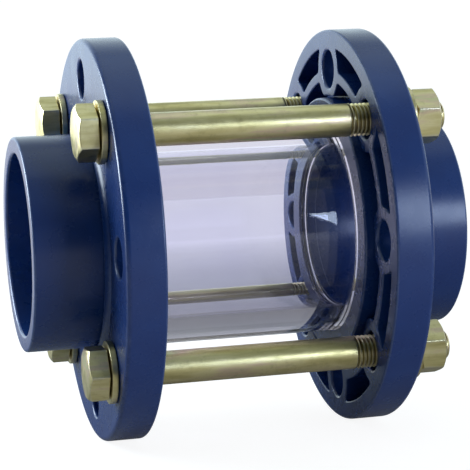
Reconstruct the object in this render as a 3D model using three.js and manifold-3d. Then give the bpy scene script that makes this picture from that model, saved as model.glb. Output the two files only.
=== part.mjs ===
// Flanged sight glass, DN 80: a thick clear tube clamped between two socket stub ends by two loose backing
// flanges and four long bolts. Millimetres, +Z up. X is the flow axis and the origin is the centre of the tube.
import * as THREE from 'three';
import { mergeVertices } from 'three/addons/utils/BufferGeometryUtils.js';
import Module from 'manifold-3d';

const wasm = await Module();
wasm.setup();

// ---- Driving dimensions ----
const CLEARANCE = 0.3; // gap kept between pieces that touch
const JOIN = 1; // how far solids that become one piece run into each other, and cutting tools run past a face

const OVERALL_LENGTH = 216;
const PIPE_OD = 90; // pipe cemented into each socket
const SOCKET_DEPTH = 51;
const SOCKET_WALL = 8.2;
const SOCKET_LEAD_IN = 1.5;
const SOCKET_EDGE = 1.5; // rounding outside the mouth

const TUBE_OD = 108;
const TUBE_WALL = 12;
const TUBE_SEAT_DEPTH = 2; // recess that centres the tube in the collar
const BORE_STEP = 1; // the stub's bore is this much smaller in radius than the tube's

const SEAL_SECTION = 3;
const SEAL_INSET = 4.5; // from the tube's outside to the middle of the seal
const GROOVE_FLOOR = 1.5; // from the seal groove to the socket's shoulder

const COLLAR_WALL = 11.5; // outside the tube
const COLLAR_THICKNESS = 11;
const COLLAR_EDGE = 1;

const PITCH_CIRCLE_MARGIN = 14.5; // from the collar to the bolt circle, which comes to 160 across
const RIM_MARGIN = 20; // from the bolt circle to the rim, which comes to 200 across
const FLANGE_THICKNESS = 18.8;
const FLANGE_FLOOR = 5; // plate behind the pockets
const FLANGE_BORE_CLEARANCE = 1.5; // on the radius, round the socket barrel
const FLANGE_EDGE = 2.5; // rounding of the rim on the outer face
const RIM_EDGE = 1; // and on the ribbed face
const RIM_WIDTH = 9;
const LIP_HEIGHT = 2; // raised lip round the bore on the outer face
const LIP_WIDTH = 2.5;
const LIP_SLOPE = 3; // width of its outer slope
const COLLAR_STANDS_PROUD = 4.2; // collar face above the ribbed face
const COLLAR_SIDE_CLEARANCE = 1; // on the radius, between the collar and the ribs
const HUB_RING_WIDTH = 3.5; // seat that shows outside the collar
const MID_RIB_INSET = 3; // from the bolt circle in to the middle of the ring rib
const MID_RIB_WIDTH = 5.4;
const SPOKE_WIDTH = 17; // at the hub; a spoke widens to the boss it joins

const BOLT_HOLES = 8;
const BOLT_SIZE = 16;
const BOLT_HOLE = BOLT_SIZE + 3;
const BOSS_WALL = 6.5;

const THREAD_PITCH_DIAMETER = BOLT_SIZE - 1.3; // the thread is drawn plain, at its pitch diameter
const THREAD_LENGTH = 48;
const POINT_CHAMFER = 1;
const HEAD_HEIGHT = 10;
const ACROSS_FLATS = 1.5 * BOLT_SIZE;
const HEX_FACE = ACROSS_FLATS - 1; // circle left flat on a head or a nut, inside its 30 degree chamfer
const NUT_HEIGHT = 13;
const THREAD_BEYOND_NUT = 3.4;
const WASHER_BORE = BOLT_SIZE + 1.4;
const WASHER_OD = WASHER_BORE + 12.6;
const WASHER_THICKNESS = 3;

// Roll of each head and nut about its own bolt, in degrees: as they happened to be tightened.
const HEAD_ROLL = [30, 0, 14, 30];
const NUT_ROLL = [42, 40, 10, 24];

const ROUND = 48; // sides of the large round pieces
const SMALL_ROUND = 20; // sides of bolts, washers and bosses

// ---- Places worked out from them ----
// Radii grow outwards from the pipe and the tube to the collar, the bolt circle and the rim.
const socketR = PIPE_OD / 2;
const barrelR = socketR + SOCKET_WALL;
const tubeR = TUBE_OD / 2;
const boreR = tubeR - TUBE_WALL - BORE_STEP;
const sealR = tubeR - SEAL_INSET;
const collarR = Math.max(tubeR, barrelR) + COLLAR_WALL;
const pitchR = collarR + PITCH_CIRCLE_MARGIN;
const flangeR = pitchR + RIM_MARGIN;

// Along the axis the socket's shoulder places the seal groove, the tube's seat and the collar in turn.
const endX = OVERALL_LENGTH / 2;
const shoulderX = endX - SOCKET_DEPTH;
const grooveX = shoulderX - GROOVE_FLOOR;
const tubeEndX = grooveX - SEAL_SECTION - 2 * CLEARANCE;
const seatX = tubeEndX + CLEARANCE;
const collarFaceX = seatX - TUBE_SEAT_DEPTH;
const collarBackX = collarFaceX + COLLAR_THICKNESS;
const ribFaceX = collarFaceX + COLLAR_STANDS_PROUD;
const hubFaceX = collarBackX + CLEARANCE;
const flangeBackX = ribFaceX + FLANGE_THICKNESS;
const floorX = flangeBackX - FLANGE_FLOOR;
const washerX = flangeBackX + CLEARANCE;
const clampX = washerX + WASHER_THICKNESS + CLEARANCE; // under the heads and the nuts
const nutEndX = clampX + NUT_HEIGHT;
const boltEndX = nutEndX + THREAD_BEYOND_NUT;

// ---- Materials ----
const pvc = new THREE.MeshStandardMaterial({ color: 0x3c4e6e, roughness: 0.35, metalness: 0 });
const clear = new THREE.MeshStandardMaterial({
  color: 0xdcdfee,
  roughness: 0.05,
  metalness: 0,
  transparent: true,
  opacity: 0.35,
});
const rubber = new THREE.MeshStandardMaterial({ color: 0x17181a, roughness: 0.7, metalness: 0 });
const zinc = new THREE.MeshStandardMaterial({ color: 0xb9a765, roughness: 0.35, metalness: 1 });

// ---- Solids ----
// The faces that shrink to a line where an outline meets the axis are left out.
function solid(geometry) {
  geometry.deleteAttribute('normal');
  geometry.deleteAttribute('uv');
  const merged = mergeVertices(geometry, 1e-4);
  const index = merged.index.array;
  const kept = [];
  for (let i = 0; i < index.length; i += 3) {
    const [a, b, c] = index.slice(i, i + 3);
    if (a !== b && b !== c && c !== a) kept.push(a, b, c);
  }
  return new wasm.Manifold(new wasm.Mesh({
    numProp: 3,
    vertProperties: new Float32Array(merged.attributes.position.array),
    triVerts: new Uint32Array(kept),
  }));
}

function geometryOf(body) {
  const mesh = body.getMesh();
  const geometry = new THREE.BufferGeometry();
  geometry.setAttribute('position', new THREE.BufferAttribute(mesh.vertProperties, 3));
  geometry.setIndex(new THREE.BufferAttribute(mesh.triVerts, 1));
  return geometry;
}

// Turns a closed outline of [x, radius] points about the X axis. The outline runs anticlockwise in that plane.
function turned(outline, sides = ROUND) {
  const points = outline.map(([x, radius]) => new THREE.Vector2(radius, x)).reverse();
  points.push(points[0].clone());
  const geometry = new THREE.LatheGeometry(points, sides);
  geometry.rotateZ(-Math.PI / 2);
  return solid(geometry);
}

// A ring of rectangular section from x0 to x1.
function ring(x0, x1, innerR, outerR, sides = ROUND) {
  return turned([[x0, innerR], [x1, innerR], [x1, outerR], [x0, outerR]], sides);
}

// A solid round bar from x0 to x1 on the line y, z.
function bar(x0, x1, radius, y = 0, z = 0, sides = SMALL_ROUND) {
  const geometry = new THREE.CylinderGeometry(radius, radius, x1 - x0, sides);
  geometry.rotateZ(-Math.PI / 2);
  geometry.translate((x0 + x1) / 2, y, z);
  return solid(geometry);
}

// The tool that cuts a round hole: the flats of its sides, not their corners, lie on the radius.
function drill(x0, x1, radius, y = 0, z = 0, sides = SMALL_ROUND) {
  return bar(x0, x1, radius / Math.cos(Math.PI / sides), y, z, sides);
}

// A six-sided prism from x0 to x1, with a flat facing +Z, and its corners turned off at both or one end.
function hexagon(x0, x1, chamferStart, chamferEnd) {
  const cornerR = ACROSS_FLATS / Math.sqrt(3);
  const geometry = new THREE.CylinderGeometry(cornerR, cornerR, x1 - x0, 6);
  geometry.rotateY(Math.PI / 6);
  geometry.rotateZ(-Math.PI / 2);
  geometry.translate((x0 + x1) / 2, 0, 0);
  const outerR = cornerR + JOIN;
  const cut = (outerR - HEX_FACE / 2) * Math.tan(Math.PI / 6);
  const limit = turned([
    [x0, 0],
    [x1, 0],
    [x1, chamferEnd ? HEX_FACE / 2 : outerR],
    [x1 - (chamferEnd ? cut : 0), outerR],
    [x0 + (chamferStart ? cut : 0), outerR],
    [x0, chamferStart ? HEX_FACE / 2 : outerR],
  ], SMALL_ROUND);
  return solid(geometry).intersect(limit);
}

// Points of a quarter round between two directions, in degrees, for a turned outline.
function arc(x, radius, r, from, to, steps) {
  return Array.from({ length: steps + 1 }, (_, i) => {
    const angle = THREE.MathUtils.degToRad(from + (to - from) * i / steps);
    return [x + r * Math.cos(angle), radius + r * Math.sin(angle)];
  });
}

// ---- Pieces, drawn at the outlet (+X) end ----
const holeAngles = Array.from({ length: BOLT_HOLES }, (_, i) => i * 2 * Math.PI / BOLT_HOLES);

function stubEnd() {
  const groove = SEAL_SECTION / 2 + CLEARANCE;
  const seatR = tubeR + CLEARANCE;
  return turned([
    [seatX, boreR],
    [shoulderX, boreR],
    [shoulderX, socketR],
    [endX - SOCKET_LEAD_IN, socketR],
    [endX, socketR + SOCKET_LEAD_IN],
    ...arc(endX - SOCKET_EDGE, barrelR - SOCKET_EDGE, SOCKET_EDGE, 0, 90, 2),
    [collarBackX, barrelR],
    ...arc(collarBackX - COLLAR_EDGE, collarR - COLLAR_EDGE, COLLAR_EDGE, 0, 90, 1),
    ...arc(collarFaceX + COLLAR_EDGE, collarR - COLLAR_EDGE, COLLAR_EDGE, 90, 180, 2),
    [collarFaceX, seatR],
    [seatX, seatR],
    [seatX, sealR + groove],
    [grooveX, sealR + groove],
    [grooveX, sealR - groove],
    [seatX, sealR - groove],
  ]);
}

function backingFlange() {
  const flangeBoreR = barrelR + FLANGE_BORE_CLEARANCE;
  const recessR = collarR + COLLAR_SIDE_CLEARANCE;
  const hubR = recessR + HUB_RING_WIDTH;
  const bossR = BOLT_HOLE / 2 + BOSS_WALL;
  const midR = pitchR - MID_RIB_INSET;
  const rimR = flangeR - RIM_WIDTH;
  let body = turned([
    [hubFaceX, flangeBoreR],
    [flangeBackX + LIP_HEIGHT, flangeBoreR],
    [flangeBackX + LIP_HEIGHT, flangeBoreR + LIP_WIDTH],
    [flangeBackX, flangeBoreR + LIP_WIDTH + LIP_SLOPE],
    ...arc(flangeBackX - FLANGE_EDGE, flangeR - FLANGE_EDGE, FLANGE_EDGE, 0, 90, 3),
    ...arc(ribFaceX + RIM_EDGE, flangeR - RIM_EDGE, RIM_EDGE, 90, 180, 2),
    [ribFaceX, rimR],
    [floorX, rimR],
    [floorX, hubR],
    [hubFaceX, hubR],
  ]);
  body = body.add(ring(ribFaceX, floorX + JOIN, midR - MID_RIB_WIDTH / 2, midR + MID_RIB_WIDTH / 2));
  for (const angle of holeAngles) {
    body = body.add(spoke(recessR - JOIN, bossR, angle));
    body = body.add(bar(ribFaceX, floorX + JOIN, bossR, ...place(angle)));
  }
  body = body.intersect(bar(0, endX, flangeR, 0, 0, ROUND));
  body = body.subtract(drill(0, hubFaceX, recessR, 0, 0, ROUND));
  for (const angle of holeAngles) {
    body = body.subtract(drill(0, endX, BOLT_HOLE / 2, ...place(angle)));
  }
  return body;
}

// A rib that widens from the hub to the width of a boss, standing on the flange's floor.
function spoke(innerR, bossR, angle) {
  const outline = new THREE.Shape([
    new THREE.Vector2(-SPOKE_WIDTH / 2, innerR),
    new THREE.Vector2(SPOKE_WIDTH / 2, innerR),
    new THREE.Vector2(bossR, pitchR),
    new THREE.Vector2(-bossR, pitchR),
  ]);
  const geometry = new THREE.ExtrudeGeometry(outline, { depth: floorX + JOIN - ribFaceX, bevelEnabled: false });
  geometry.rotateX(Math.PI / 2);
  geometry.rotateZ(Math.PI / 2);
  geometry.translate(ribFaceX, 0, 0);
  geometry.rotateX(angle);
  return solid(geometry);
}

// The y, z of a point on the bolt circle, at an angle from straight up.
function place(angle) {
  return [-pitchR * Math.sin(angle), pitchR * Math.cos(angle)];
}

function sealRing() {
  return turned(arc(tubeEndX + CLEARANCE + SEAL_SECTION / 2, sealR, SEAL_SECTION / 2, 0, 315, 7));
}

function boltBody() {
  const threadStartX = boltEndX - THREAD_LENGTH;
  const coreR = THREAD_PITCH_DIAMETER / 2;
  const shankR = BOLT_SIZE / 2;
  const shank = turned([
    [-clampX - JOIN, 0],
    [boltEndX, 0],
    [boltEndX, coreR - POINT_CHAMFER],
    [boltEndX - POINT_CHAMFER, coreR],
    [threadStartX, coreR],
    [threadStartX - (shankR - coreR), shankR],
    [-clampX - JOIN, shankR],
  ], SMALL_ROUND);
  return shank.add(hexagon(-clampX - HEAD_HEIGHT, -clampX, true, false));
}

function nutBody() {
  const bore = drill(0, boltEndX, THREAD_PITCH_DIAMETER / 2 + CLEARANCE);
  return hexagon(clampX, nutEndX, true, true).subtract(bore);
}

function washerBody(x) {
  return ring(x, x + WASHER_THICKNESS, WASHER_BORE / 2, WASHER_OD / 2, SMALL_ROUND);
}

// ---- The assembly ----
const assembly = new THREE.Group();

function add(parent, name, body, material) {
  const mesh = new THREE.Mesh(geometryOf(body), material);
  mesh.name = name;
  parent.add(mesh);
  return mesh;
}

add(assembly, 'sight_tube', ring(-tubeEndX, tubeEndX, tubeR - TUBE_WALL, tubeR), clear);

// The inlet end is the same three pieces, turned round.
for (const [end, turn] of [['inlet', Math.PI], ['outlet', 0]]) {
  const group = new THREE.Group();
  group.rotation.z = turn;
  add(group, `${end}_stub_end`, stubEnd(), pvc);
  add(group, `${end}_o_ring`, sealRing(), rubber);
  add(group, `${end}_backing_flange`, backingFlange(), pvc);
  assembly.add(group);
}

// Bolts in every second hole, numbered from the upper front one round by the bottom.
holeAngles.filter((_, i) => i % 2).forEach((angle, i) => {
  const number = i + 1;
  const group = new THREE.Group();
  group.position.set(0, ...place(angle));
  const bolt = add(group, `bolt_${number}`, boltBody(), zinc);
  bolt.rotation.x = THREE.MathUtils.degToRad(HEAD_ROLL[i]);
  add(group, `head_washer_${number}`, washerBody(-washerX - WASHER_THICKNESS), zinc);
  add(group, `nut_washer_${number}`, washerBody(washerX), zinc);
  const nut = add(group, `nut_${number}`, nutBody(), zinc);
  nut.rotation.x = THREE.MathUtils.degToRad(NUT_ROLL[i]);
  assembly.add(group);
});

export default assembly;
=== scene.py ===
import bmesh
import bpy
import math
from mathutils import Matrix, Vector
from mathutils.geometry import delaunay_2d_cdt


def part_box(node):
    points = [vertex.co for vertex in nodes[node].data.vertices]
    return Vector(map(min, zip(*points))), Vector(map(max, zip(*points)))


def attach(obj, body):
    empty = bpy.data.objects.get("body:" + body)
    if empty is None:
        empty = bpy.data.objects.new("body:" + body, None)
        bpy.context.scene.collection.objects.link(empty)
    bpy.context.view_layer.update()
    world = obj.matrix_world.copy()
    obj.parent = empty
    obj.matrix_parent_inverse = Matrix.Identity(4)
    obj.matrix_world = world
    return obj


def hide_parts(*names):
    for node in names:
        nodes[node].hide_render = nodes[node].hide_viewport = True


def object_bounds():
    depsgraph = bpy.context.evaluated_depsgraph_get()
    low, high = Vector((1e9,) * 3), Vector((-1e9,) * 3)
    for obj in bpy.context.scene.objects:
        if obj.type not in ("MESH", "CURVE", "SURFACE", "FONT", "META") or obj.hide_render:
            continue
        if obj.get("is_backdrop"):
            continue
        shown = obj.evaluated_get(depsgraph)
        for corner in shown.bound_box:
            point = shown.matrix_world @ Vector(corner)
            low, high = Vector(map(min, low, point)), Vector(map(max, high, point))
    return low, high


# Looks for the flanged sight glass, built round the CAD frame. Shapes are worked out in millimetres, with the
# flow axis on X as in the frame, and each mesh is written in metres.

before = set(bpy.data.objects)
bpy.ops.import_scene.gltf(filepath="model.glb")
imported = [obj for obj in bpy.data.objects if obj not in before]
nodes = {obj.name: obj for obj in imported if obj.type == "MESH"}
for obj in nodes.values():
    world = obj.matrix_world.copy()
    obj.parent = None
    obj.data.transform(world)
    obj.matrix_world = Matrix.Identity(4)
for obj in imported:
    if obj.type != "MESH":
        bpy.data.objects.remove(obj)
cad_low, cad_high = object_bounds()
MM = 0.001


def extent(node):
    """Lowest and highest corner of a CAD node, in millimetres."""
    low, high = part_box(node)
    return low / MM, high / MM


# ---- Sizes read from the frame ----
stub_low, stub_high = extent("outlet_stub_end")
flange_low, flange_high = extent("outlet_backing_flange")
tube_high = extent("sight_tube")[1]
seal_low, seal_high = extent("outlet_o_ring")

END_X = stub_high.x
COLLAR_FACE_X = stub_low.x
COLLAR_R = stub_high.z
RIB_FACE_X = flange_low.x
LIP_X = flange_high.x
FLANGE_R = flange_high.z
TUBE_END_X = tube_high.x
TUBE_R = tube_high.z
SEAL_X = (seal_low.x + seal_high.x) / 2
SEAL_R = (seal_high.z - seal_low.z) / 2

# ---- Sizes of the shapes the frame has too ----
LIP_HEIGHT = 2.0
FLANGE_BACK_X = LIP_X - LIP_HEIGHT
FLANGE_FLOOR = 5.0
FLOOR_X = FLANGE_BACK_X - FLANGE_FLOOR
COLLAR_THICKNESS = 11.0
COLLAR_BACK_X = COLLAR_FACE_X + COLLAR_THICKNESS
HUB_FACE_X = COLLAR_BACK_X + 0.3
SEAT_X = COLLAR_FACE_X + 2.0
SHOULDER_X = 57.0
SOCKET_R = 45.0
BARREL_R = 53.2
BORE_R = 41.0
TUBE_INNER_R = 42.0
FLANGE_BORE_R = 54.7
RECESS_R = 66.5
HUB_R = 70.0
MID_RIB_INNER_R = 74.3
MID_RIB_OUTER_R = 79.7
RIM_INNER_R = 91.0
PITCH_R = 80.0
HOLE_R = 9.5
BOSS_R = 16.0
HOLES = 8
SEAL_SECTION_R = 1.5

# ---- Finer sizes that only the looks have ----
ROUND_SIDES = 192
SMALL_SIDES = 64
POCKET_CORNER = 2.2  # plan radius in the corners of the pockets
POCKET_EDGE = 0.7  # rounding where a rib's top turns down
POCKET_DRAFT = 0.55  # how far a pocket closes in from top to floor, so that it leaves the mould
POCKET_FILLET = 1.6
HOLE_EDGE = 1.5  # rounding of the bolt holes' mouths
RIM_EDGE = 1.2  # rounding of the rim at the ribbed face
RIM_BACK_EDGE = 2.5  # and at the outer face
RECESS_CORNER = 1.2
UNDER_HUB = 4.3  # how far outside the bore the plate's edge lies hidden under the hub ring
PATH_POINTS = 96  # on the outline of a pocket
PATH_TRIES = 240  # places where an outline is looked for before it is spaced out
FILLET_TURNS = (0.0, 0.39, 0.79, 1.18, math.pi / 2)  # steps round the fillet at a pocket's floor
HALVINGS = 40  # when looking for an outline on a line
SEARCH_DEPTH = 8.0  # radial reach when looking for an outer pocket's outline
SEARCH_ANGLE = 0.42  # and the angle it reaches to either side
SEARCH_BACK = 3.0  # how far inside the recess the search for the inner outline starts
SEARCH_REACH = 14.0
MERGE_DISTANCE = 2e-6


# ---- Node trees ----
def linear(code):
    """Linear colour, with alpha, from an sRGB hex code."""
    parts = [int(code[i:i + 2], 16) / 255 for i in (0, 2, 4)]
    return (*(p / 12.92 if p <= 0.04045 else ((p + 0.055) / 1.055) ** 2.4 for p in parts), 1.0)


def add_node(tree, kind, inputs=(), out=0, stops=(), **settings):
    """Adds a node and hands back one of its outputs, or all of them when out is None.

    Inputs maps a socket's name or number to a value, to another node's output, or to a list of outputs.
    Stops are the (position, colour) pairs of a colour ramp.
    """
    node = tree.nodes.new(kind)
    for key, value in settings.items():
        setattr(node, key, value)
    for key, value in dict(inputs).items():
        for source in value if isinstance(value, list) else [value]:
            if isinstance(source, bpy.types.NodeSocket):
                tree.links.new(source, node.inputs[key])
            else:
                node.inputs[key].default_value = source
    if stops:
        points = node.color_ramp.elements
        while len(points) < len(stops):
            points.new(0.5)
        for point, (position, colour) in zip(points, stops):
            point.position = position
            point.color = colour
    if out is None or not node.outputs:
        return node.outputs
    return node.outputs[out]


def new_material(name):
    """A material with an empty tree, and the object's own coordinates to place its patterns by."""
    material = bpy.data.materials.new(name)
    material.use_nodes = True
    tree = material.node_tree
    tree.nodes.clear()
    return material, tree, add_node(tree, "ShaderNodeTexCoord", out="Object")


def edge_wear(tree, position, most):
    """Where convex edges are rubbed, from 0 to most: the mesh's own edge attribute, broken up by noise."""
    edge = add_node(tree, "ShaderNodeAttribute", out="Fac", attribute_name="edge")
    patchy = add_node(tree, "ShaderNodeTexNoise", {
        "Vector": position, "Scale": 160.0, "Detail": 4.0, "Roughness": 0.65,
    })
    rubbed = add_node(tree, "ShaderNodeMath", {0: edge, 1: patchy}, operation="MULTIPLY")
    return add_node(tree, "ShaderNodeMapRange", {
        "Value": rubbed, "From Min": 0.225, "From Max": 0.48, "To Max": most,
    })


# ---- Materials ----
# Noise scales are in cycles per metre.
def moulded_pvc():
    """Navy PVC-U, injection moulded: a smooth half-gloss skin, faint flow mottling, edges rubbed paler."""
    material, tree, position = new_material("navy_pvc_injection_moulded")
    # Flow marks several centimetres long: the pigment is not quite even, so large faces are not one blue.
    flow = add_node(tree, "ShaderNodeTexNoise", {
        "Vector": position, "Scale": 28.0, "Detail": 3.0, "Roughness": 0.6,
    })
    base = add_node(tree, "ShaderNodeValToRGB", {0: flow}, stops=[
        (0.30, linear("11306b")), (0.55, linear("143672")), (0.75, linear("1a3d7a")),
    ])
    # Fine specks of about 1 mm, where dust and handling dull the colour.
    speckle = add_node(tree, "ShaderNodeTexNoise", {
        "Vector": position, "Scale": 900.0, "Detail": 2.0, "Roughness": 0.5,
    })
    specks = add_node(tree, "ShaderNodeMapRange", {
        "Value": speckle, "From Min": 0.45, "From Max": 0.8, "To Max": 0.03,
    })
    dusty = add_node(tree, "ShaderNodeMix", {0: specks, 6: base, 7: linear("56637f")}, 2, data_type="RGBA")
    worn = edge_wear(tree, position, 0.45)
    rubbed = add_node(tree, "ShaderNodeMix", {0: worn, 6: dusty, 7: linear("5f6f96")}, 2, data_type="RGBA")
    # Gloss varies in patches of 1 to 2 cm, as a moulding does that is handled and wiped.
    patches = add_node(tree, "ShaderNodeTexNoise", {
        "Vector": position, "Scale": 70.0, "Detail": 4.0, "Roughness": 0.6,
    })
    gloss = add_node(tree, "ShaderNodeMapRange", {
        "Value": patches, "From Min": 0.3, "From Max": 0.7, "To Min": 0.25, "To Max": 0.30,
    })
    # Shallow orange peel about 3 mm across, then a fine grain: long reflections waver a little.
    swell = add_node(tree, "ShaderNodeTexNoise", {
        "Vector": position, "Scale": 330.0, "Detail": 2.0, "Roughness": 0.5,
    })
    peel = add_node(tree, "ShaderNodeBump", {"Height": swell, "Distance": 0.00003, "Strength": 0.3})
    tooth = add_node(tree, "ShaderNodeTexNoise", {
        "Vector": position, "Scale": 1500.0, "Detail": 2.0, "Roughness": 0.5,
    })
    grain = add_node(tree, "ShaderNodeBump", {
        "Height": tooth, "Distance": 0.00001, "Strength": 0.25, "Normal": peel,
    })
    shader = add_node(tree, "ShaderNodeBsdfPrincipled", {
        "Base Color": rubbed, "Roughness": gloss, "Normal": grain, "IOR": 1.53,
    })
    add_node(tree, "ShaderNodeOutputMaterial", {"Surface": shader})
    return material


def clear_tube():
    """Clear PVC tube, extruded: a faint blue-violet cast, fine lines along its length and light scuffs."""
    material, tree, position = new_material("clear_pvc_tube_extruded")
    # The cast is uneven over centimetres, as in thick clear PVC.
    cloud = add_node(tree, "ShaderNodeTexNoise", {
        "Vector": position, "Scale": 18.0, "Detail": 2.0, "Roughness": 0.5,
    })
    tint = add_node(tree, "ShaderNodeValToRGB", {0: cloud}, stops=[
        (0.3, linear("e4e3f4")), (0.7, linear("eeedf7")),
    ])
    # Draw lines about 2 mm apart round the tube and many times longer than that.
    stretched = add_node(tree, "ShaderNodeMapping", {"Vector": position, "Scale": (0.06, 1.0, 1.0)})
    lines = add_node(tree, "ShaderNodeTexNoise", {
        "Vector": stretched, "Scale": 420.0, "Detail": 3.0, "Roughness": 0.6,
    })
    drawn = add_node(tree, "ShaderNodeBump", {"Height": lines, "Distance": 0.00001, "Strength": 0.25})
    # Scuffs a centimetre or two across, and edges rubbed matt.
    rubbing = add_node(tree, "ShaderNodeTexNoise", {
        "Vector": position, "Scale": 60.0, "Detail": 2.0, "Roughness": 0.5,
    })
    scuffs = add_node(tree, "ShaderNodeMapRange", {
        "Value": rubbing, "From Min": 0.4, "From Max": 0.8, "To Max": 0.02,
    })
    worn = edge_wear(tree, position, 0.3)
    matt = add_node(tree, "ShaderNodeMath", {0: scuffs, 1: worn}, operation="MAXIMUM")
    gloss = add_node(tree, "ShaderNodeMath", {0: matt, 1: 0.01}, operation="ADD")
    shader = add_node(tree, "ShaderNodeBsdfPrincipled", {
        "Base Color": tint, "Roughness": gloss, "Normal": drawn, "IOR": 1.53, "Transmission Weight": 1.0,
    })
    add_node(tree, "ShaderNodeOutputMaterial", {"Surface": shader})
    return material


def seal_rubber():
    """EPDM rubber, moulded: near black, matt, a little dusty, with a fine skin texture."""
    material, tree, position = new_material("black_epdm_moulded")
    dusting = add_node(tree, "ShaderNodeTexNoise", {
        "Vector": position, "Scale": 400.0, "Detail": 4.0, "Roughness": 0.6,
    })
    dust = add_node(tree, "ShaderNodeMapRange", {
        "Value": dusting, "From Min": 0.4, "From Max": 0.8, "To Max": 0.35,
    })
    base = add_node(tree, "ShaderNodeMix", {
        0: dust, 6: linear("141517"), 7: linear("3a3c40"),
    }, 2, data_type="RGBA")
    worn = edge_wear(tree, position, 0.2)
    rubbed = add_node(tree, "ShaderNodeMix", {0: worn, 6: base, 7: linear("4a4c50")}, 2, data_type="RGBA")
    gloss = add_node(tree, "ShaderNodeMapRange", {
        "Value": dusting, "From Min": 0.4, "From Max": 0.8, "To Min": 0.5, "To Max": 0.75,
    })
    tooth = add_node(tree, "ShaderNodeTexNoise", {
        "Vector": position, "Scale": 1400.0, "Detail": 3.0, "Roughness": 0.5,
    })
    skin = add_node(tree, "ShaderNodeBump", {"Height": tooth, "Distance": 0.00006, "Strength": 0.6})
    shader = add_node(tree, "ShaderNodeBsdfPrincipled", {
        "Base Color": rubbed, "Roughness": gloss, "Normal": skin,
    })
    add_node(tree, "ShaderNodeOutputMaterial", {"Surface": shader})
    return material


def zinc_steel():
    """Steel, cold forged, zinc plated and yellow chromated: gold to olive with pink and green clouds."""
    material, tree, position = new_material("cold_forged_steel_zinc_plated_yellow_chromated")
    # The chromate film's thickness drifts over 5 to 20 mm, and its colour goes from straw to pink to green.
    run = add_node(tree, "ShaderNodeMapping", {"Vector": position, "Scale": (0.15, 1.0, 1.0)})
    film = add_node(tree, "ShaderNodeTexNoise", {
        "Vector": run, "Scale": 110.0, "Detail": 4.0, "Roughness": 0.6,
    })
    base = add_node(tree, "ShaderNodeValToRGB", {0: film}, stops=[
        (0.30, linear("beb175")), (0.43, linear("d9cb90")), (0.52, linear("e9dca6")),
        (0.60, linear("e2caaa")), (0.68, linear("cdd398")), (0.78, linear("b5ba7f")),
    ])
    # Dull grey-brown stains a few millimetres wide, where the bath drained.
    draining = add_node(tree, "ShaderNodeTexNoise", {
        "Vector": position, "Scale": 260.0, "Detail": 5.0, "Roughness": 0.7,
    })
    stain = add_node(tree, "ShaderNodeMapRange", {
        "Value": draining, "From Min": 0.52, "From Max": 0.74, "To Max": 0.25,
    })
    stained = add_node(tree, "ShaderNodeMix", {0: stain, 6: base, 7: linear("6e5c3c")}, 2, data_type="RGBA")
    # Painted shade in the roots of the threads, with some oil and dirt there, turns them dark brown.
    hollow = add_node(tree, "ShaderNodeAttribute", out="Fac", attribute_name="hollow")
    root_shade_and_dirt = add_node(tree, "ShaderNodeMath", {0: hollow, 1: 1.5}, operation="MULTIPLY", use_clamp=True)
    rooted = add_node(tree, "ShaderNodeMix", {0: root_shade_and_dirt, 6: stained, 7: linear("3b2a14")}, 2, data_type="RGBA")
    worn = edge_wear(tree, position, 0.35)
    bright = add_node(tree, "ShaderNodeMix", {0: worn, 6: rooted, 7: linear("d9d6cc")}, 2, data_type="RGBA")
    # The film is satin in places and glossier in others, over 5 to 10 mm.
    patches = add_node(tree, "ShaderNodeTexNoise", {
        "Vector": position, "Scale": 180.0, "Detail": 4.0, "Roughness": 0.6,
    })
    gloss = add_node(tree, "ShaderNodeMapRange", {
        "Value": patches, "From Min": 0.3, "From Max": 0.75, "To Min": 0.28, "To Max": 0.42,
    })
    # Forging texture about 1 mm across, and drawing lines along the shank.
    forging = add_node(tree, "ShaderNodeTexNoise", {
        "Vector": position, "Scale": 1000.0, "Detail": 3.0, "Roughness": 0.6,
    })
    texture = add_node(tree, "ShaderNodeBump", {"Height": forging, "Distance": 0.00004, "Strength": 0.5})
    lengthwise = add_node(tree, "ShaderNodeMapping", {"Vector": position, "Scale": (0.04, 1.0, 1.0)})
    drawing = add_node(tree, "ShaderNodeTexNoise", {
        "Vector": lengthwise, "Scale": 1600.0, "Detail": 3.0, "Roughness": 0.5,
    })
    lines = add_node(tree, "ShaderNodeBump", {
        "Height": drawing, "Distance": 0.00002, "Strength": 0.4, "Normal": texture,
    })
    shader = add_node(tree, "ShaderNodeBsdfPrincipled", {
        "Base Color": bright, "Metallic": 1.0, "Roughness": gloss, "Normal": lines,
    })
    add_node(tree, "ShaderNodeOutputMaterial", {"Surface": shader})
    return material


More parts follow.
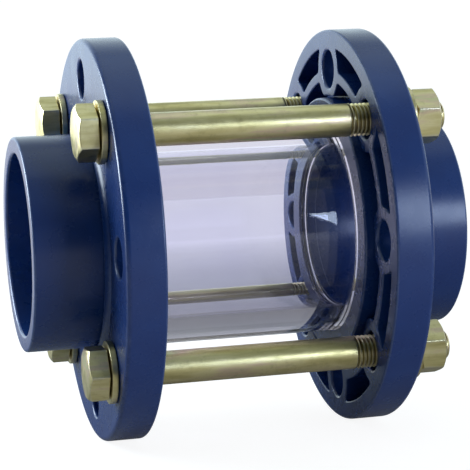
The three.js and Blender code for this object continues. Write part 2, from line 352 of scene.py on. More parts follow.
def studio_floor():
    """White seamless paper: matt, with a barely visible fibre mottle."""
    material, tree, position = new_material("white_seamless_paper")
    cloud = add_node(tree, "ShaderNodeTexNoise", {
        "Vector": position, "Scale": 40.0, "Detail": 3.0, "Roughness": 0.5,
    })
    base = add_node(tree, "ShaderNodeValToRGB", {0: cloud}, stops=[
        (0.3, linear("7f7f7f")), (0.7, linear("858585")),
    ])
    fibres = add_node(tree, "ShaderNodeTexNoise", {
        "Vector": position, "Scale": 700.0, "Detail": 3.0, "Roughness": 0.5,
    })
    tooth = add_node(tree, "ShaderNodeBump", {"Height": fibres, "Distance": 0.00005, "Strength": 0.2})
    # What is seen directly is brighter than its light makes it, so that the paper runs into the white
    # background. Through the tube that holds only some way off.
    rays = add_node(tree, "ShaderNodeLightPath", out=None)
    away = add_node(tree, "ShaderNodeVectorMath", {0: position}, "Value", operation="LENGTH")
    far_off = add_node(tree, "ShaderNodeMapRange", {
        "Value": away, "From Min": 0.15, "From Max": 0.6, "To Min": 0.25, "To Max": 0.8,
    })
    through = add_node(tree, "ShaderNodeMath", {
        0: rays["Is Transmission Ray"], 1: far_off,
    }, operation="MULTIPLY")
    direct = add_node(tree, "ShaderNodeMath", {0: rays["Is Camera Ray"], 1: through}, operation="MAXIMUM")
    seen = add_node(tree, "ShaderNodeMath", {0: direct, 1: 0.9}, operation="MULTIPLY")
    # The paper throws some light back up in front, and behind it is bright in reflections.
    along = add_node(tree, "ShaderNodeSeparateXYZ", {0: position}, "Y")
    front = add_node(tree, "ShaderNodeMapRange", {
        "Value": along, "From Min": 0.05, "From Max": -0.25, "To Min": 0.0, "To Max": 0.32,
    })
    back = add_node(tree, "ShaderNodeMapRange", {
        "Value": along, "From Min": 0.2, "From Max": 0.7, "To Min": 0.0, "To Max": 0.9,
    })
    mirrored = add_node(tree, "ShaderNodeMath", {0: rays["Is Glossy Ray"], 1: back}, operation="MULTIPLY")
    thrown = add_node(tree, "ShaderNodeMath", {0: front, 1: mirrored}, operation="MAXIMUM")
    glow = add_node(tree, "ShaderNodeMath", {0: thrown, 1: seen}, operation="MAXIMUM")
    shader = add_node(tree, "ShaderNodeBsdfPrincipled", {
        "Base Color": base, "Roughness": 0.9, "Normal": tooth, "Specular IOR Level": 0.1,
        "Emission Color": linear("ffffff"), "Emission Strength": glow,
    })
    add_node(tree, "ShaderNodeOutputMaterial", {"Surface": shader})
    return material


PVC = moulded_pvc()
CLEAR = clear_tube()
RUBBER = seal_rubber()
ZINC = zinc_steel()


# ---- Meshes ----
def mesh_of(name, points, faces):
    """A mesh from points in millimetres. Coincident points are merged and the faces turned outwards."""
    mesh = bpy.data.meshes.new(name)
    mesh.from_pydata([Vector(p) * MM for p in points], [], faces)
    work = bmesh.new()
    work.from_mesh(mesh)
    bmesh.ops.remove_doubles(work, verts=work.verts, dist=1e-6)
    bmesh.ops.dissolve_degenerate(work, edges=work.edges, dist=1e-7)
    bmesh.ops.recalc_face_normals(work, faces=work.faces)
    work.to_mesh(mesh)
    work.free()
    return mesh


def mark_edges(mesh):
    """Writes two attributes: edge, from 0 on flat surface to 1 on a convex edge, and hollow, the same in a
    groove.

    A point takes the second sharpest bend that meets it, so that the first row of a flat face beside an edge
    stays at 0.
    """
    bends = [[] for _ in mesh.vertices]
    for edge in mesh.edges:
        a, b = (mesh.vertices[i] for i in edge.vertices)
        along = b.co - a.co
        if along.length_squared < 1e-14:
            continue
        for i in edge.vertices:
            bends[i].append((b.normal - a.normal).dot(along) / along.length_squared)
    for name, reach, order in (("edge", 1.2 * MM, -1), ("hollow", -0.6 * MM, 1)):
        second = [sorted(bend, key=lambda v: v * order)[1] if len(bend) > 1 else 0.0 for bend in bends]
        attribute = mesh.attributes.new(name, "FLOAT", "POINT")
        attribute.data.foreach_set("value", [min(1.0, max(0.0, value * reach)) for value in second])


def finish_piece(name, mesh, material, body, slot, *stands_for):
    """Shades a mesh smooth with its flat faces kept flat, and puts it in the scene in place of CAD nodes."""
    piece = bpy.data.objects.new(name, mesh)
    bpy.context.scene.collection.objects.link(piece)
    mesh.shade_smooth()
    weighted = piece.modifiers.new("weighted", "WEIGHTED_NORMAL")
    weighted.weight = 100
    graph = bpy.context.evaluated_depsgraph_get()
    finished = bpy.data.meshes.new_from_object(piece.evaluated_get(graph), depsgraph=graph)
    piece.modifiers.clear()
    piece.data = finished
    finished.name = name
    mark_edges(finished)
    finished.materials.clear()
    finished.materials.append(material)
    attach(piece, body)
    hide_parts(*stands_for)
    return piece


def rounded(corners, steps=5):
    """An outline with its corners rounded. Corners are (x, radius, rounding)."""
    points = []
    for i, (x, r, size) in enumerate(corners):
        here = Vector((x, r))
        if not size:
            points.append(here)
            continue
        back = (Vector(corners[i - 1][:2]) - here).normalized()
        ahead = (Vector(corners[(i + 1) % len(corners)][:2]) - here).normalized()
        half = back.angle(ahead) / 2
        centre = here + (back + ahead).normalized() * size / math.sin(half)
        start = here + back * size / math.tan(half)
        spread = math.pi - 2 * half
        side = 1 if back.x * ahead.y - back.y * ahead.x < 0 else -1
        for k in range(steps + 1):
            turn = Matrix.Rotation(side * spread * k / steps, 2)
            points.append(centre + turn @ (start - centre))
    return points


def turned(outline, sides=ROUND_SIDES, closed=True):
    """Points and faces of an outline of (x, radius) points turned about the X axis."""
    n = len(outline)
    points = []
    for i in range(sides):
        angle = 2 * math.pi * i / sides
        points += [(x, r * math.sin(angle), r * math.cos(angle)) for x, r in outline]
    faces = []
    for i in range(sides):
        j = (i + 1) % sides
        for k in range(n if closed else n - 1):
            l = (k + 1) % n
            faces.append((i * n + k, i * n + l, j * n + l, j * n + k))
    return points, faces


def half_turn(points):
    """The same points turned round to the inlet end."""
    return [(-x, -y, z) for x, y, z in points]


# ---- Stub ends, seals and tube ----
def stub_end_outline():
    groove_half = SEAL_SECTION_R + 0.3
    groove_bottom = SHOULDER_X - 1.5
    seat_r = TUBE_R + 0.3
    return rounded([
        (SEAT_X, BORE_R, 0.3),
        (SHOULDER_X, BORE_R, 0.5),
        (SHOULDER_X, SOCKET_R - 0.35, 0.6),
        (END_X, SOCKET_R, 1.6),
        (END_X, BARREL_R, 1.3),
        (COLLAR_BACK_X, BARREL_R, 0.6),
        (COLLAR_BACK_X, COLLAR_R, 1.2),
        (COLLAR_FACE_X, COLLAR_R, 1.2),
        (COLLAR_FACE_X, seat_r, 0.3),
        (SEAT_X, seat_r, 0.1),
        (SEAT_X, SEAL_R + groove_half, 0.2),
        (groove_bottom, SEAL_R + groove_half, 0.4),
        (groove_bottom, SEAL_R - groove_half, 0.4),
        (SEAT_X, SEAL_R - groove_half, 0.2),
    ], 4)


def seal_outline():
    turn = [2 * math.pi * i / 24 for i in range(24)]
    return [Vector((SEAL_X, SEAL_R)) + SEAL_SECTION_R * Vector((math.cos(a), math.sin(a))) for a in turn]


for end in ("inlet", "outlet"):
    for kind, outline, material, slot in (
        ("stub_end", stub_end_outline(), PVC, "moulded_pvc"),
        ("o_ring", seal_outline(), RUBBER, "seal_rubber"),
    ):
        points, faces = turned(outline)
        if end == "inlet":
            points = half_turn(points)
        node = f"{end}_{kind}"
        finish_piece(f"{node}.shape", mesh_of(node, points, faces), material, "line", slot, node)

points, faces = turned(rounded([
    (-TUBE_END_X, TUBE_INNER_R, 0.4), (TUBE_END_X, TUBE_INNER_R, 0.4),
    (TUBE_END_X, TUBE_R, 0.6), (-TUBE_END_X, TUBE_R, 0.6),
], 3))
tube_mesh = mesh_of("sight_tube", points, faces)
finish_piece("sight_tube.shape", tube_mesh, CLEAR, "line", "clear_tube", "sight_tube")


# ---- Backing flanges ----
# One eighth of a flange is worked out here, from one bolt hole's middle to the next, and Geometry Nodes
# repeats it.
def on_plane(r, angle):
    return Vector((r * math.sin(angle), r * math.cos(angle)))


SECTOR = 2 * math.pi / HOLES
BOSSES = [on_plane(PITCH_R, 0.0), on_plane(PITCH_R, SECTOR)]


def both(a, b, corner):
    """Signed distance to what two shapes share, with the corner between them rounded."""
    past = Vector((max(a + corner, 0.0), max(b + corner, 0.0)))
    return min(max(a + corner, b + corner), 0.0) + past.length - corner


def to_bosses(p):
    """Signed distance outwards from a boss: below 0 in the clear space between bosses."""
    return max(BOSS_R - (p - middle).length for middle in BOSSES)


def outer_pocket(p):
    band = max(MID_RIB_OUTER_R - p.length, p.length - RIM_INNER_R)
    return both(band, to_bosses(p), POCKET_CORNER)


def inner_space(p):
    """The collar's recess, and the space that runs out from it between the spokes to the middle rib."""
    between = both(p.length - MID_RIB_INNER_R, to_bosses(p), POCKET_CORNER)
    return -both(RECESS_R - p.length, -between, RECESS_CORNER)


def settle(p, shape, level):
    """Moves a point straight to where a signed distance has a given value."""
    step = 0.01
    for _ in range(8):
        here = shape(p)
        slope = Vector((
            shape(p + Vector((step, 0))) - shape(p - Vector((step, 0))),
            shape(p + Vector((0, step))) - shape(p - Vector((0, step))),
        )) / (2 * step)
        if slope.length_squared < 1e-6:
            break
        p = p - slope * (here - level) / slope.length_squared
    return p


def spaced(path, count):
    """Points an equal distance apart along a path, its ends kept."""
    along = [0.0]
    for a, b in zip(path, path[1:]):
        along.append(along[-1] + (b - a).length)
    result = []
    k = 0
    for i in range(count + 1):
        target = along[-1] * i / count
        while k < len(path) - 2 and along[k + 1] < target:
            k += 1
        share = (target - along[k]) / max(along[k + 1] - along[k], 1e-9)
        result.append(path[k].lerp(path[k + 1], min(share, 1.0)))
    return result


def found_along(start, direction, shape, reach):
    """Where a signed distance reaches 0 on a line that starts inside."""
    low, high = 0.0, reach
    for _ in range(HALVINGS):
        middle = (low + high) / 2
        low, high = (middle, high) if shape(start + direction * middle) < 0 else (low, middle)
    return start + direction * low


def outer_pocket_path():
    middle_r = (MID_RIB_OUTER_R + RIM_INNER_R) / 2
    points = []
    for i in range(PATH_TRIES):
        turn = 2 * math.pi * i / PATH_TRIES
        low, high = 0.0, 1.0
        for _ in range(HALVINGS):
            share = (low + high) / 2
            r = middle_r + share * SEARCH_DEPTH * math.sin(turn)
            p = on_plane(r, SECTOR / 2 + share * SEARCH_ANGLE * math.cos(turn))
            low, high = (share, high) if outer_pocket(p) < 0 else (low, share)
        points.append(p)
    return spaced(points + points[:1], PATH_POINTS)[:-1]


def inner_path():
    points = []
    for i in range(PATH_TRIES + 1):
        angle = SECTOR * i / PATH_TRIES
        direction = on_plane(1.0, angle)
        points.append(found_along(direction * (RECESS_R - SEARCH_BACK), direction, inner_space, SEARCH_REACH))
    return spaced(points, PATH_POINTS)


class Sector:
    """Points and faces of one eighth of a flange."""

    def __init__(self):
        self.points = []
        self.faces = []

    def loop(self, plane_points, x):
        first = len(self.points)
        self.points += [(x, -p.x, p.y) for p in plane_points]
        return list(range(first, len(self.points)))

    def wall(self, loops, closed):
        for a, b in zip(loops, loops[1:]):
            n = len(a)
            for i in range(n if closed else n - 1):
                j = (i + 1) % n
                self.faces.append((a[i], a[j], b[j], b[i]))

    def flat(self, border, islands, x):
        """A flat face inside a border, with islands left out, joined to the points already there."""
        rings = [border] + islands
        plane = [Vector((-self.points[i][1], self.points[i][2])) for ring in rings for i in ring]
        index = [i for ring in rings for i in ring]
        edges = []
        first = 0
        for ring in rings:
            n = len(ring)
            edges += [(first + i, first + (i + 1) % n) for i in range(n)]
            first += n
        found, _, triangles, _, _, _ = delaunay_2d_cdt(plane, edges, [], 0, 1e-7)
        outline = plane[:len(border)]
        gaps = [[Vector((-self.points[i][1], self.points[i][2])) for i in ring] for ring in islands]
        first = len(self.points)
        self.points += [(x, -p.x, p.y) for p in found]
        for triangle in triangles:
            middle = sum((found[i] for i in triangle), Vector((0, 0))) / 3
            if inside(middle, outline) and not any(inside(middle, gap) for gap in gaps):
                self.faces.append(tuple(first + i for i in triangle))


def inside(p, outline):
    crossed = False
    for a, b in zip(outline, outline[1:] + outline[:1]):
        if (a.y > p.y) != (b.y > p.y) and p.x < (b.x - a.x) * (p.y - a.y) / (b.y - a.y) + a.x:
            crossed = not crossed
    return crossed


def quarter(size, steps=4):
    """Steps round a quarter circle, as (sideways, depth) from its start on a flat face."""
    turns = [math.pi / 2 * k / steps for k in range(steps + 1)]
    return [(size * math.sin(t), size * (1 - math.cos(t))) for t in turns]


def flange_sector():
    sector = Sector()
    arc_steps = ROUND_SIDES // HOLES
    angles = [SECTOR * i / arc_steps for i in range(arc_steps + 1)]

    # Rim, from the ribbed face round to the outer face.
    rim = [(RIB_FACE_X + depth, FLANGE_R - RIM_EDGE + side) for side, depth in quarter(RIM_EDGE)]
    back_edge_x = FLANGE_BACK_X - RIM_BACK_EDGE
    rim += [(back_edge_x + side, FLANGE_R - depth) for side, depth in quarter(RIM_BACK_EDGE, 6)]
    rim_loops = [sector.loop([on_plane(r, a) for a in angles], x) for x, r in rim]
    sector.wall(rim_loops, False)

    # Bolt holes: the half of each that lies in this eighth, with rounded mouths.
    wide_r = HOLE_R + HOLE_EDGE
    mouth = [(RIB_FACE_X + depth, wide_r - side) for side, depth in quarter(HOLE_EDGE)]
    mouth += [(FLANGE_BACK_X - depth, wide_r - side) for side, depth in reversed(quarter(HOLE_EDGE))]
    holes = []
    for k, middle in enumerate(BOSSES):
        inwards = 1 if k == 0 else -1
        half = [k * SECTOR + inwards * math.pi * i / 32 for i in range(33)]
        loops = [sector.loop([middle + on_plane(r, a) for a in half], x) for x, r in mouth]
        sector.wall(loops, False)
        holes.append(loops)

    # Walls of the pockets: rounded top edge, drafted wall, fillet at the floor.
    levels = [(RIB_FACE_X + d, POCKET_EDGE - s) for s, d in quarter(POCKET_EDGE)]
    for t in FILLET_TURNS:
        in_from_wall = POCKET_FILLET * (1 - math.cos(t))
        levels.append((FLOOR_X - POCKET_FILLET * (1 - math.sin(t)), -POCKET_DRAFT - in_from_wall))
    pocket_loops = []
    path = outer_pocket_path()
    for x, level in levels:
        pocket_loops.append(sector.loop([settle(p, outer_pocket, level) for p in path], x))
    sector.wall(pocket_loops, True)
    sector.flat(pocket_loops[-1], [], FLOOR_X)

    inner_loops = []
    path = inner_path()
    for x, level in levels:
        inner_loops.append(sector.loop([settle(p, inner_space, level) for p in path], x))
    sector.wall(inner_loops, False)

    # The floor runs on in under the hub ring, where its edge doesn't show.
    hidden_r = FLANGE_BORE_R + UNDER_HUB
    hidden_floor = sector.loop([on_plane(hidden_r, a) for a in angles], FLOOR_X)
    hidden_back = sector.loop([on_plane(hidden_r, a) for a in angles], FLANGE_BACK_X)
    sector.wall([hidden_floor, hidden_back], False)
    sector.flat(inner_loops[-1] + hidden_floor[::-1], [], FLOOR_X)

    # The two big flat faces, between the rim, the holes and the pockets.
    for x, rim_loop, inner_loop, k, islands in (
        (RIB_FACE_X, rim_loops[0], inner_loops[0], 0, [pocket_loops[0]]),
        (FLANGE_BACK_X, rim_loops[-1], hidden_back, -1, []),
    ):
        sector.flat(inner_loop + holes[1][k][::-1] + rim_loop[::-1] + holes[0][k], islands, x)
    return sector


def new_tree(name, body, sizes, counts):
    """An empty Geometry Nodes tree with its named inputs, and the sockets that hand them in."""
    tree = bpy.data.node_groups.new(name, "GeometryNodeTree")
    tree.interface.new_socket(body, in_out="INPUT", socket_type="NodeSocketGeometry")
    for size in sizes:
        tree.interface.new_socket(size, in_out="INPUT", socket_type="NodeSocketFloat")
    for count in counts:
        tree.interface.new_socket(count, in_out="INPUT", socket_type="NodeSocketInt")
    tree.interface.new_socket("Material", in_out="INPUT", socket_type="NodeSocketMaterial")
    tree.interface.new_socket("Geometry", in_out="OUTPUT", socket_type="NodeSocketGeometry")
    return tree, add_node(tree, "NodeGroupInput", out=None)


def finish_tree(tree, geometry, material):
    """Makes the instances real, joins the edges that meet, paints the whole and hands it out."""
    real = add_node(tree, "GeometryNodeRealizeInstances", {0: geometry})
    joined = add_node(tree, "GeometryNodeMergeByDistance", {"Geometry": real, "Distance": MERGE_DISTANCE})
    painted = add_node(tree, "GeometryNodeSetMaterial", {"Geometry": joined, "Material": material})
    add_node(tree, "NodeGroupOutput", {0: painted})


def repeat_tree():
    """Geometry Nodes: turns copies of one sector about the X axis and joins them into a whole ring."""
    tree, given = new_tree("sectors_round_axis", "Sector", [], ["Count"])
    points = add_node(tree, "GeometryNodePoints", {"Count": given["Count"]})
    share = add_node(tree, "ShaderNodeMath", {0: 2 * math.pi, 1: given["Count"]}, operation="DIVIDE")
    index = add_node(tree, "GeometryNodeInputIndex")
    turn = add_node(tree, "ShaderNodeMath", {0: index, 1: share}, operation="MULTIPLY")
    rotation = add_node(tree, "ShaderNodeCombineXYZ", {0: turn})
    copies = add_node(tree, "GeometryNodeInstanceOnPoints", {
        "Points": points, "Instance": given["Sector"], "Rotation": rotation,
    })
    finish_tree(tree, copies, given["Material"])
    return tree


def apply_tree(mesh, tree, values, bevel=None):
    """A plain mesh from a Geometry Nodes tree run over mesh, its inputs set by name."""
    maker = bpy.data.objects.new("maker", mesh)
    bpy.context.scene.collection.objects.link(maker)
    if bevel:
        edges = maker.modifiers.new("edges", "BEVEL")
        edges.width = bevel * MM
        edges.segments = 2
        edges.limit_method = "ANGLE"
        edges.angle_limit = math.radians(35)
        edges.use_clamp_overlap = False
    nodes_modifier = maker.modifiers.new("nodes", "NODES")
    nodes_modifier.node_group = tree
    for item in tree.interface.items_tree:
        if item.item_type == "SOCKET" and item.in_out == "INPUT" and item.name in values:
            nodes_modifier[item.identifier] = values[item.name]
    graph = bpy.context.evaluated_depsgraph_get()
    made = bpy.data.meshes.new_from_object(maker.evaluated_get(graph), depsgraph=graph)
    bpy.data.objects.remove(maker)
    return made


def face_outwards(mesh):
    work = bmesh.new()
    work.from_mesh(mesh)
    bmesh.ops.remove_doubles(work, verts=work.verts, dist=MERGE_DISTANCE)
    bmesh.ops.recalc_face_normals(work, faces=work.faces)
    work.to_mesh(mesh)
    work.free()


# The hub ring, bore and raised lip, turned in one; its buried part lies inside the plate.
BURIED = 1.3
hub_points, hub_faces = turned(rounded([
    (HUB_FACE_X, FLANGE_BORE_R, 0.6),
    (LIP_X, FLANGE_BORE_R, 1.0),
    (LIP_X, FLANGE_BORE_R + 1.8, 0.9),
    (FLANGE_BACK_X - 0.4, FLANGE_BORE_R + 8.1, 0),
    (FLOOR_X + BURIED, FLANGE_BORE_R + 8.1, 0),
    (FLOOR_X + BURIED, HUB_R, 0),
    (HUB_FACE_X, HUB_R, 0.7),
], 4))

SECTORS_ROUND_AXIS = repeat_tree()
flange_eighth = flange_sector()
for end in ("inlet", "outlet"):
    node = f"{end}_backing_flange"
    place_end = half_turn if end == "inlet" else list
    eighth = mesh_of(node, place_end(flange_eighth.points), flange_eighth.faces)
    ring_mesh = apply_tree(eighth, SECTORS_ROUND_AXIS, {"Count": HOLES, "Material": PVC})
    hub_mesh = mesh_of(f"{node}.hub", place_end(hub_points), hub_faces)
    work = bmesh.new()
    work.from_mesh(ring_mesh)
    work.from_mesh(hub_mesh)
    work.to_mesh(ring_mesh)
    work.free()
    face_outwards(ring_mesh)
    finish_piece(f"{node}.shape", ring_mesh, PVC, "flange_cage", "moulded_pvc", node)


# ---- Bolts, nuts and washers ----
PITCH = 2.0
SHANK_R = 8.0
BOLT_ROOT_R = 6.75
NUT_CREST_R = 8.15
NUT_ROOT_R = 7.05
FLAT_TO_AXIS = 12.0
FACE_R = 11.35  # of the circle left flat on a head or nut
WASHER_FACE_R = 11.2
WASHER_FACE_HEIGHT = 0.4
HEX_EDGE = 0.28
HEX_SIDES = 48
ROWS_A_TURN = 16
THREAD_LENGTH = 48.0
POINT_R = 6.3  # of the flat at a bolt's end
RUN_OUT = 2.5
MOUTH_R = NUT_CREST_R + 0.25
WASHER_BORE_R = 8.7
NEAR_HEXAGON = 6.0  # along X from the middle of a head or nut


def thread_tree():
    """Geometry Nodes: the surface of a screw thread, in rows that follow the helix, joined to a body."""
    tree, given = new_tree("screw_thread", "Body", [
        "Reference", "Start", "End", "Pitch", "Crest Radius", "Root Radius", "Start Radius", "End Radius",
        "Run Out", "Inside",
    ], ["Rows", "Sides"])
    columns = add_node(tree, "ShaderNodeMath", {0: given["Sides"], 1: 1.0}, operation="ADD")
    grid = add_node(tree, "GeometryNodeMeshGrid", {"Vertices X": columns, "Vertices Y": given["Rows"]})

    # Each line is one step of arithmetic: what it makes, and from which numbers or earlier steps.
    known = {socket.name: socket for socket in given}
    known["index"] = add_node(tree, "GeometryNodeInputIndex")
    for made, operation, *terms in (
        # Which column of the grid, round the axis, and which row, along it.
        ("index and half", "ADD", "index", 0.5),
        ("columns passed", "DIVIDE", "index and half", "Rows"),
        ("column", "FLOOR", "columns passed"),
        ("points passed", "MULTIPLY", "column", "Rows"),
        ("row", "SUBTRACT", "index", "points passed"),
        ("turns", "DIVIDE", "row", float(ROWS_A_TURN)),
        ("share", "DIVIDE", "column", "Sides"),
        # Along the axis: the rows climb with the helix and stop at both ends.
        ("turns climbed", "ADD", "turns", "share"),
        ("climb", "MULTIPLY", "Pitch", "turns climbed"),
        ("free x", "ADD", "Reference", "climb"),
        ("x from start", "MAXIMUM", "free x", "Start"),
        ("x", "MINIMUM", "x from start", "End"),
        # Sixty degree profile: a quarter of the pitch flat at the root, an eighth at the crest.
        ("turns nudged", "ADD", "turns", 0.001),
        ("part turn", "FRACT", "turns nudged"),
        ("off middle", "SUBTRACT", "part turn", 0.501),
        ("from root", "ABSOLUTE", "off middle"),
        ("up flank", "SUBTRACT", "from root", 0.125),
        ("height", "DIVIDE", "up flank", 0.3125),
        # The thread fades out over the run out at its start.
        ("past start", "SUBTRACT", "x", "Start"),
        ("fade", "DIVIDE", "past start", "Run Out"),
        ("full depth", "SUBTRACT", "Crest Radius", "Root Radius"),
        ("under crest", "SUBTRACT", 1.0, "height"),
        ("depth", "MULTIPLY", "full depth", "under crest"),
        ("faded depth", "MULTIPLY", "depth", "fade"),
        ("radius", "SUBTRACT", "Crest Radius", "faded depth"),
        # Cones at both ends cut a bolt's point, or, with Inside at -1, open a nut's mouths.
        ("start slope", "MULTIPLY", "Inside", "past start"),
        ("start cone", "ADD", "Start Radius", "start slope"),
        ("before end", "SUBTRACT", "End", "x"),
        ("end slope", "MULTIPLY", "Inside", "before end"),
        ("end cone", "ADD", "End Radius", "end slope"),
        ("signed radius", "MULTIPLY", "Inside", "radius"),
        ("signed start", "MULTIPLY", "Inside", "start cone"),
        ("signed end", "MULTIPLY", "Inside", "end cone"),
        ("least of two", "MINIMUM", "signed radius", "signed start"),
        ("least", "MINIMUM", "least of two", "signed end"),
        ("cut", "MULTIPLY", "Inside", "least"),
        # Round the axis.
        ("turn", "MULTIPLY", "share", 2 * math.pi),
        ("cosine", "COSINE", "turn"),
        ("sine", "SINE", "turn"),
        ("y", "MULTIPLY", "cut", "cosine"),
        ("z", "MULTIPLY", "cut", "sine"),
    ):
        known[made] = add_node(tree, "ShaderNodeMath", {
            i: known.get(term, term) for i, term in enumerate(terms)
        }, operation=operation, use_clamp=made in ("height", "fade"))

    place = add_node(tree, "ShaderNodeCombineXYZ", {0: known["x"], 1: known["y"], 2: known["z"]})
    thread = add_node(tree, "GeometryNodeSetPosition", {"Geometry": grid, "Position": place})
    both_parts = add_node(tree, "GeometryNodeJoinGeometry", {0: [given["Body"], thread]})
    finish_tree(tree, both_parts, given["Material"])
    return tree


SCREW_THREAD = thread_tree()


def hex_r(angle):
    """From the axis to the side of the hexagon. Its corners are at 0, 60, 120 degrees and so on."""
    return FLAT_TO_AXIS / math.cos(angle % (math.pi / 3) - math.pi / 6)


def ringed(rings):
    """Points and faces of rings round the axis, each a function from angle to (x, radius)."""
    points = []
    for ring in rings:
        for i in range(HEX_SIDES):
            angle = 2 * math.pi * i / HEX_SIDES
            x, r = ring(angle)
            points.append((x, r * math.cos(angle), r * math.sin(angle)))
    faces = []
    for k in range(len(rings) - 1):
        for i in range(HEX_SIDES):
            j = (i + 1) % HEX_SIDES
            a, b = k * HEX_SIDES, (k + 1) * HEX_SIDES
            faces.append((a + i, a + j, b + j, b + i))
    return points, faces


def plain(x, r):
    return lambda angle: (x, r)


def hex_side(x):
    return lambda angle: (x, hex_r(angle))


def chamfered(x, inward):
    """The curved edge where the 30 degree chamfer meets the flats. Inward is +1 or -1, along X."""
    return lambda angle: (x + inward * (hex_r(angle) - FACE_R) * math.tan(math.pi / 6), hex_r(angle))


def threaded(body_rings, start, end, start_r, end_r, crest, root, run_out, inside, turn):
    """A hexagon piece with its thread. Turn keeps the helix in step between a bolt and its nut."""
    points, faces = ringed(body_rings)
    in_step = PITCH * turn / (2 * math.pi)
    first = start - PITCH
    reference = first - (first - in_step) % PITCH
    rows = math.ceil((end - reference) / PITCH + 1) * ROWS_A_TURN + 1
    sizes = {"Reference": reference, "Start": start, "End": end, "Pitch": PITCH, "Crest Radius": crest,
             "Root Radius": root, "Start Radius": start_r, "End Radius": end_r, "Run Out": run_out}
    values = {key: value * MM for key, value in sizes.items()}
    values.update({"Inside": inside, "Rows": rows, "Sides": HEX_SIDES, "Material": ZINC})
    return apply_tree(mesh_of("body", points, faces), SCREW_THREAD, values, HEX_EDGE)


def put_on_axis(mesh, turn, middle):
    mesh.transform(Matrix.Translation(Vector((0, middle.y, middle.z)) * MM) @ Matrix.Rotation(turn, 4, "X"))
    face_outwards(mesh)


def hexagon_turn(node, head_x):
    """How far a hexagon in the frame is turned about its axis: the angle of one of its corners."""
    low, high = extent(node)
    middle = (low + high) / 2
    found = [v.co / MM for v in nodes[node].data.vertices]
    points = [p - middle for p in found if abs(p.x - head_x) < NEAR_HEXAGON]
    corner = max(points, key=lambda p: math.hypot(p.y, p.z))
    return math.atan2(corner.z, corner.y) % (math.pi / 3)


for number in (1, 2, 3, 4):
    bolt_low, bolt_high = extent(f"bolt_{number}")
    nut_low, nut_high = extent(f"nut_{number}")
    washer_low, washer_high = extent(f"nut_washer_{number}")
    middle = (washer_low + washer_high) / 2
    end_x = bolt_high.x
    head_x = bolt_low.x
    under_head_x = -nut_low.x
    thread_x = end_x - THREAD_LENGTH
    bolt_turn = hexagon_turn(f"bolt_{number}", (head_x + under_head_x) / 2)
    bolt = threaded([
        plain(head_x, 0.0), plain(head_x, 4.0), plain(head_x, FACE_R), chamfered(head_x, 1),
        hex_side(under_head_x - WASHER_FACE_HEIGHT), plain(under_head_x - WASHER_FACE_HEIGHT, WASHER_FACE_R),
        plain(under_head_x, WASHER_FACE_R - 0.2), plain(under_head_x, SHANK_R + 0.6),
        plain(under_head_x + 0.2, SHANK_R + 0.2), plain(under_head_x + 0.7, SHANK_R),
        plain(0.0, SHANK_R), plain(thread_x, SHANK_R),
    ], thread_x, end_x, SHANK_R, POINT_R, SHANK_R, BOLT_ROOT_R, RUN_OUT, 1.0, bolt_turn)
    cap_points, cap_faces = ringed([plain(end_x, POINT_R), plain(end_x, POINT_R / 2), plain(end_x, 0.0)])
    cap = mesh_of("cap", cap_points, cap_faces)
    work = bmesh.new()
    work.from_mesh(bolt)
    work.from_mesh(cap)
    work.to_mesh(bolt)
    work.free()
    put_on_axis(bolt, bolt_turn, middle)
    finish_piece(f"bolt_{number}.shape", bolt, ZINC, "flange_cage", "zinc_steel", f"bolt_{number}")

    nut_turn = hexagon_turn(f"nut_{number}", (nut_low.x + nut_high.x) / 2)
    nut = threaded([
        plain(nut_low.x, MOUTH_R), plain(nut_low.x, FACE_R), chamfered(nut_low.x, 1),
        chamfered(nut_high.x, -1), plain(nut_high.x, FACE_R), plain(nut_high.x, MOUTH_R),
    ], nut_low.x, nut_high.x, MOUTH_R, MOUTH_R, NUT_CREST_R, NUT_ROOT_R, 0.01, -1.0, nut_turn)
    put_on_axis(nut, nut_turn, middle)
    finish_piece(f"nut_{number}.shape", nut, ZINC, f"turning_nut_{number}", "zinc_steel", f"nut_{number}")

    for kind, body in (("head_washer", "flange_cage"), ("nut_washer", f"loose_washer_{number}")):
        node = f"{kind}_{number}"
        low, high = extent(node)
        points, faces = turned(rounded([
            (low.x, WASHER_BORE_R, 0.25), (high.x, WASHER_BORE_R, 0.25),
            (high.x, high.y - middle.y, 0.5), (low.x, high.y - middle.y, 0.35),
        ], 3), SMALL_SIDES)
        points = [(x, y + middle.y, z + middle.z) for x, y, z in points]
        finish_piece(f"{node}.shape", mesh_of(node, points, faces), ZINC, body, "zinc_steel", node)


# ---- Stage: floor, lights and camera ----
def stage_floor():
    size = 6.0
    z = cad_low.z
    mesh = bpy.data.meshes.new("studio_floor")
    corners = [(-size, -size, z), (size, -size, z), (size, size, z), (-size, size, z)]
    mesh.from_pydata(corners, [], [(0, 1, 2, 3)])
    mesh.materials.append(studio_floor())
    floor = bpy.data.objects.new("studio_floor", mesh)
    bpy.context.scene.collection.objects.link(floor)
    floor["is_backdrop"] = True


def soft_light(name, azimuth, elevation, distance, width, height, power, colour):
    """An area light aimed at the object. Azimuth 0 is in front and 90 on the +X side, as for the camera."""
    a, e = math.radians(azimuth), math.radians(elevation)
    back = Vector((math.sin(a) * math.cos(e), -math.cos(a) * math.cos(e), math.sin(e)))
    data = bpy.data.lights.new(name, "AREA")
    data.shape = "RECTANGLE"
    data.size = width
    data.size_y = height
    data.energy = power
    data.color = linear(colour)[:3]
    light = bpy.data.objects.new(name, data)
    light.location = back * distance
    light.rotation_mode = "QUATERNION"
    light.rotation_quaternion = (-back).to_track_quat("-Z", "Y")
    bpy.context.scene.collection.objects.link(light)


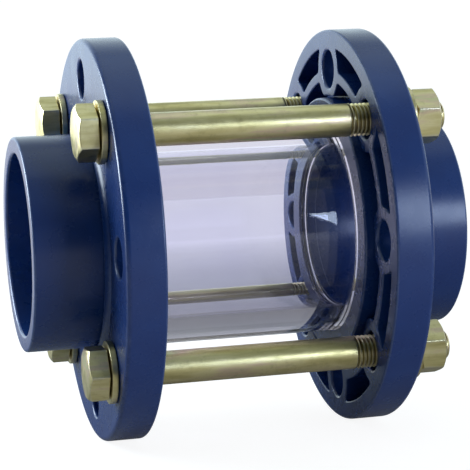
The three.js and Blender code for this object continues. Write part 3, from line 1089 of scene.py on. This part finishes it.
def stage_light():
    # A broad light overhead, a cool one to the right in front, and one low on the left, a little behind.
    soft_light("overhead_softbox", 180, 78, 1.2, 1.3, 1.0, 2.0, "e2f3f6")
    soft_light("front_softbox", 29.4, 10, 1.6, 0.62, 0.52, 9.6, "cfe2ff")
    soft_light("left_softbox", -120, 14, 0.6, 0.35, 0.25, 4.0, "dcebfa")
    world = bpy.data.worlds.new("studio")
    world.use_nodes = True
    tree = world.node_tree
    tree.nodes.clear()
    # The room that lights the object is bright low down behind it, less so above and to the right, and dim in
    # front.
    direction = add_node(tree, "ShaderNodeTexCoord", out="Generated")
    towards = add_node(tree, "ShaderNodeSeparateXYZ", {0: direction}, out=None)
    behind = add_node(tree, "ShaderNodeMapRange", {
        "Value": towards["Y"], "From Min": 0.1, "From Max": 0.95, "To Min": 0.0, "To Max": 1.9,
    })
    low_down = add_node(tree, "ShaderNodeMapRange", {
        "Value": towards["Z"], "From Min": 0.2, "From Max": 0.7, "To Min": 1.0, "To Max": 0.35,
    })
    to_right = add_node(tree, "ShaderNodeMapRange", {
        "Value": towards["X"], "From Min": 0.2, "From Max": 1.0, "To Min": 0.05, "To Max": 1.0,
    })
    above = add_node(tree, "ShaderNodeMapRange", {
        "Value": towards["Z"], "From Min": 0.35, "From Max": 0.8, "To Min": 0.0, "To Max": 0.4,
    })
    wall = add_node(tree, "ShaderNodeMath", {0: behind, 1: low_down}, operation="MULTIPLY")
    walls = add_node(tree, "ShaderNodeMath", {0: wall, 1: to_right}, operation="MAXIMUM")
    strength = add_node(tree, "ShaderNodeMath", {0: walls, 1: above}, operation="MAXIMUM")
    room = add_node(tree, "ShaderNodeBackground", {"Color": linear("dff1f5"), "Strength": strength})
    # Seen directly it is plain white, and through the tube a pale grey that dims towards the front.
    rays = add_node(tree, "ShaderNodeLightPath", out=None)
    through = add_node(tree, "ShaderNodeMapRange", {
        "Value": towards["Y"], "From Min": 0.0, "From Max": 0.5, "To Min": 0.4, "To Max": 0.90,
    })
    direct = add_node(tree, "ShaderNodeMath", {0: rays["Is Camera Ray"], 1: 1.05}, operation="MULTIPLY")
    shown = add_node(tree, "ShaderNodeMath", {0: through, 1: direct}, operation="MAXIMUM")
    backdrop = add_node(tree, "ShaderNodeBackground", {"Color": linear("fdfdff"), "Strength": shown})
    seen = add_node(tree, "ShaderNodeMath", {
        0: rays["Is Camera Ray"], 1: rays["Is Transmission Ray"],
    }, operation="MAXIMUM")
    sky = add_node(tree, "ShaderNodeMixShader", {0: seen, 1: room, 2: backdrop})
    add_node(tree, "ShaderNodeOutputWorld", {"Surface": sky})
    bpy.context.scene.world = world


def stage_camera():
    """Looks from a little left of the front and a little above, from about 0.9 m, through a long lens."""
    azimuth, elevation, roll = math.radians(-14.36), math.radians(6.48), math.radians(-2.04)
    distance = 0.9201
    aim = Vector((2.61, 0.0, -2.06)) * MM
    level = Vector((math.sin(azimuth), -math.cos(azimuth), 0.0))
    back = level * math.cos(elevation) + Vector((0.0, 0.0, math.sin(elevation)))
    right = (-back).cross(Vector((0, 0, 1))).normalized()
    up = right.cross(-back)
    turned_right = right * math.cos(roll) + up * math.sin(roll)
    turned_up = up * math.cos(roll) - right * math.sin(roll)
    data = bpy.data.cameras.new("camera")
    data.sensor_width = 36.0
    data.lens = 138.6
    data.clip_start = 0.05
    data.clip_end = 20.0
    camera = bpy.data.objects.new("camera", data)
    camera.matrix_world = Matrix.Translation(aim + back * distance) @ Matrix(
        (turned_right, turned_up, back)).transposed().to_4x4()
    bpy.context.scene.collection.objects.link(camera)
    bpy.context.scene.camera = camera


stage_floor()
stage_light()
stage_camera()
bpy.context.scene.view_settings.view_transform = "Standard"

low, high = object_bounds()
